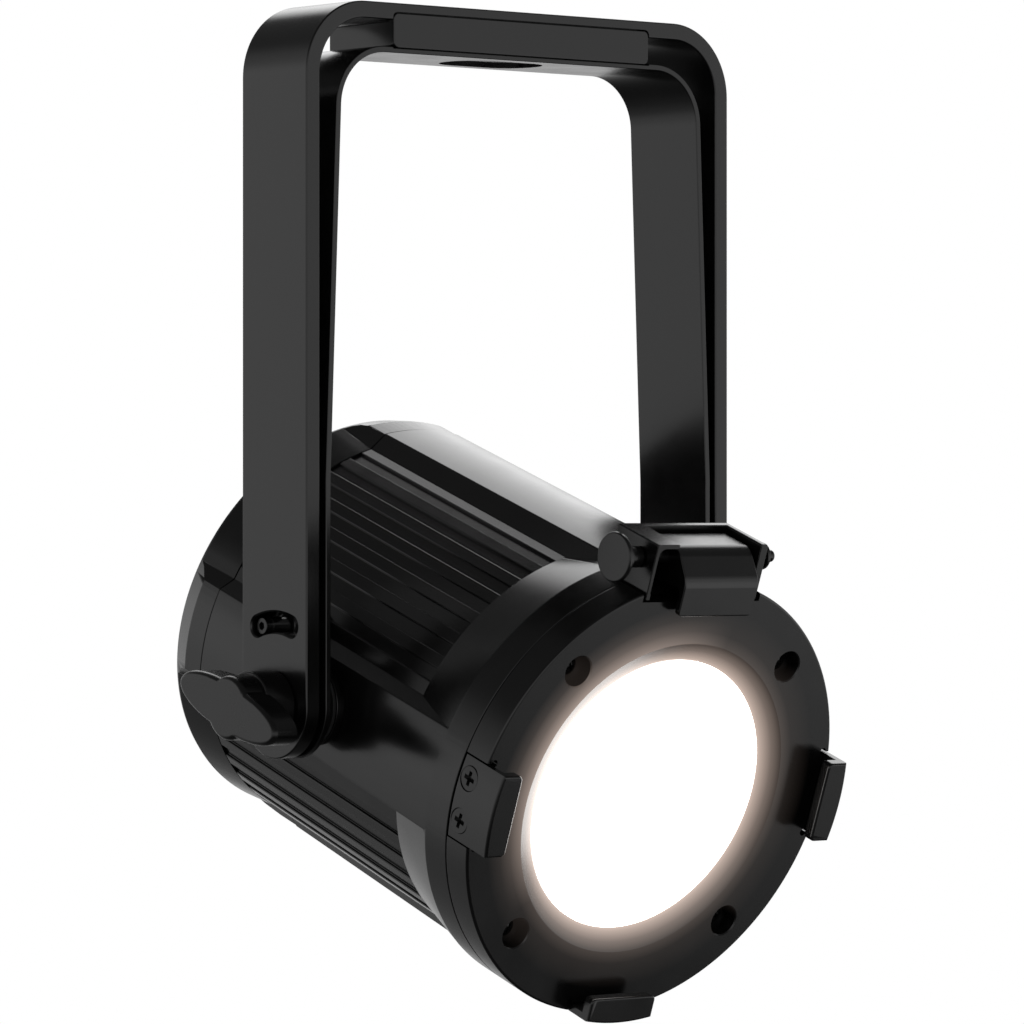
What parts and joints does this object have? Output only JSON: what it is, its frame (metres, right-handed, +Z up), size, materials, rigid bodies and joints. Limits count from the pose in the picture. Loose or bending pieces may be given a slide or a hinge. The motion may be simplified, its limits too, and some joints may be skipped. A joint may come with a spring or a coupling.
{
  "type": "par can light",
  "caption": "LED par can stage light: finned round head with front ring, accessory clips and latch, hung in a double-strap yoke with two clamp knobs.",
  "frame": {"origin": "centre of the yoke's flat top face, on the clamp bolt hole's axis, where the hanging clamp bolts on", "axes": "+Z up along the clamp bolt, +X along the tilt axis to the light's left-hand side as seen from in front (picture right), -Y towards the lens side"},
  "size_m": [0.2186, 0.2106, 0.327],
  "materials": {
    "black_paint": "satin black powder coat",
    "black_plastic": "satin moulded",
    "black_steel": "black oxide, semi-gloss",
    "bright_steel": "zinc plated",
    "aluminium": "milled",
    "rubber": "matte",
    "circuit_board": "satin",
    "lens": "frosted, glowing white",
    "display": "gloss"
  },
  "bodies": {
    "yoke": {"yoke": "black_paint", "yoke_liner": "black_paint", "clamp_block": "black_plastic", "clamp_bolt_bush": "bright_steel", "pivot_bush_left": "black_plastic", "pivot_bush_right": "black_plastic"},
    "head": {"clip_bottom": "black_paint", "clip_left": "black_paint", "clip_right": "black_paint", "clip_screw_bottom_1": "black_steel", "clip_screw_bottom_2": "black_steel", "clip_screw_left_1": "black_steel", "clip_screw_left_2": "black_steel", "clip_screw_right_1": "black_steel", "clip_screw_right_2": "black_steel", "control_board": "circuit_board", "data_in": "black_plastic", "data_out": "black_plastic", "display_window": "display", "driver_board": "circuit_board", "friction_disc_left": "rubber", "friction_disc_right": "rubber", "front_ring": "black_paint", "heat_sink": "aluminium", "latch_bracket": "black_paint", "latch_screw_1": "black_steel", "latch_screw_2": "black_steel", "led_board": "aluminium", "lens": "lens", "lens_gasket": "rubber", "main_housing": "black_paint", "power_in": "black_plastic", "power_out": "black_plastic", "rear_cap": "black_paint", "rear_panel": "black_plastic", "rear_screw_1": "black_steel", "rear_screw_2": "black_steel", "rear_screw_3": "black_steel", "rear_screw_4": "black_steel", "reflector": "bright_steel", "ring_screw_1": "black_steel", "ring_screw_2": "black_steel", "ring_screw_3": "black_steel", "ring_screw_4": "black_steel", "stop_pin": "black_steel"},
    "knob_left": {"knob_left": "black_plastic", "knob_stud_left": "bright_steel"},
    "knob_right": {"knob_right": "black_plastic", "knob_stud_right": "bright_steel"},
    "latch_flap": {"latch_flap": "black_paint"},
    "latch_pin": {"latch_pin": "black_steel", "latch_washer": "black_steel", "latch_sleeve": "black_steel"},
    "button_1": {"button_1": "rubber"},
    "button_2": {"button_2": "rubber"},
    "button_3": {"button_3": "rubber"},
    "button_4": {"button_4": "rubber"}
  },
  "joints": [
    {"name": "head_tilt", "type": "hinge", "parent": "yoke", "child": "head", "pos_m": [0, 0, -0.2252], "axis": [1, 0, 0], "range_deg": [0, 38]},
    {"name": "knob_left_turn", "type": "hinge", "parent": "head", "child": "knob_left", "pos_m": [0, 0, -0.2252], "axis": [1, 0, 0], "continuous": true},
    {"name": "knob_right_turn", "type": "hinge", "parent": "head", "child": "knob_right", "pos_m": [0, 0, -0.2252], "axis": [1, 0, 0], "continuous": true},
    {"name": "latch_open", "type": "hinge", "parent": "head", "child": "latch_flap", "pos_m": [0, -0.09995, -0.17719], "axis": [-1, 0, 0], "range_deg": [0, 110]},
    {"name": "latch_pin_turn", "type": "hinge", "parent": "head", "child": "latch_pin", "pos_m": [0, -0.09995, -0.17719], "axis": [1, 0, 0], "continuous": true},
    {"name": "button_1_press", "type": "slide", "parent": "head", "child": "button_1", "axis": [0, -0.9397, -0.342], "range_m": [0, 0.001], "stiffness_N_per_m": 300, "springref_m": -0.001},
    {"name": "button_2_press", "type": "slide", "parent": "head", "child": "button_2", "axis": [0, -0.9397, -0.342], "range_m": [0, 0.001], "stiffness_N_per_m": 300, "springref_m": -0.001},
    {"name": "button_3_press", "type": "slide", "parent": "head", "child": "button_3", "axis": [0, -0.9397, -0.342], "range_m": [0, 0.001], "stiffness_N_per_m": 300, "springref_m": -0.001},
    {"name": "button_4_press", "type": "slide", "parent": "head", "child": "button_4", "axis": [0, -0.9397, -0.342], "range_m": [0, 0.001], "stiffness_N_per_m": 300, "springref_m": -0.001}
  ]
}
